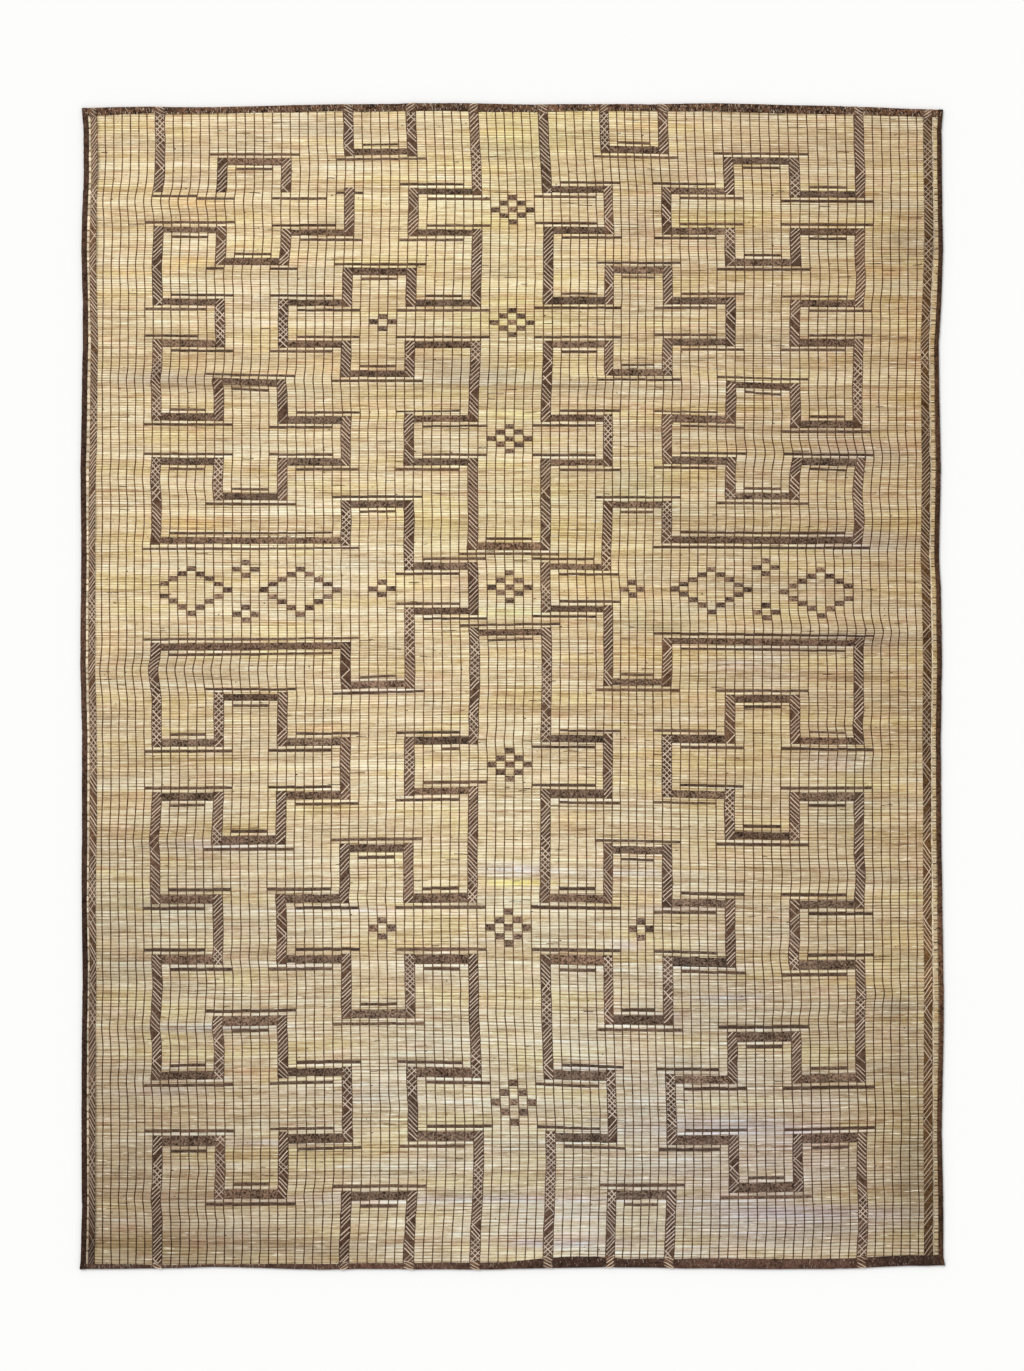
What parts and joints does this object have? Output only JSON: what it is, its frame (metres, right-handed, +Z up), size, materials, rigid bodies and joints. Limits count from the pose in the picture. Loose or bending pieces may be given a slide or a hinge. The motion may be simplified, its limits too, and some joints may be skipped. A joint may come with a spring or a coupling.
{
  "type": "leather and bamboo mat",
  "caption": "Large flat floor mat of split canes laid side by side and bound with leather thongs, with stepped leather bands, lozenges and folded leather edges.",
  "frame": {"origin": "middle of the mat's underside", "axes": "+Z up from the floor through the mat, +Y along the thongs towards the mat's head, +X along the canes towards its right side"},
  "size_m": [2.006, 2.71, 0.0075],
  "materials": {
    "reed": "split cane, matt",
    "band_leather": "dark brown, matt",
    "side_leather": "near black, matt",
    "end_leather": "brown, matt"
  },
  "bodies": {
    "root": {"reed_field": "reed", "left_binding": "side_leather", "right_binding": "side_leather", "head_binding": "end_leather", "foot_binding": "end_leather", "left_braid": "band_leather", "right_braid": "band_leather", "left_side_band": "band_leather", "right_side_band": "band_leather", "left_head_stub": "band_leather", "left_head_key": "band_leather", "upper_centre_band": "band_leather", "lower_centre_band": "band_leather", "left_head_inner_key": "band_leather", "right_head_inner_key": "band_leather", "left_foot_inner_key": "band_leather", "right_foot_inner_key": "band_leather", "centre_lozenge_1": "band_leather", "centre_lozenge_2": "band_leather", "centre_lozenge_3": "band_leather", "centre_lozenge_4": "band_leather", "centre_lozenge_5": "band_leather", "centre_lozenge_6": "band_leather", "centre_lozenge_7": "band_leather", "small_lozenge_1": "band_leather", "small_lozenge_2": "band_leather", "small_lozenge_3": "band_leather", "small_lozenge_4": "band_leather", "small_lozenge_5": "band_leather", "panel_lozenge_1": "band_leather", "panel_lozenge_2": "band_leather", "panel_lozenge_3": "band_leather", "panel_lozenge_4": "band_leather", "panel_diamond_1": "band_leather", "panel_diamond_2": "band_leather", "panel_diamond_3": "band_leather", "panel_diamond_4": "band_leather"}
  },
  "joints": []
}
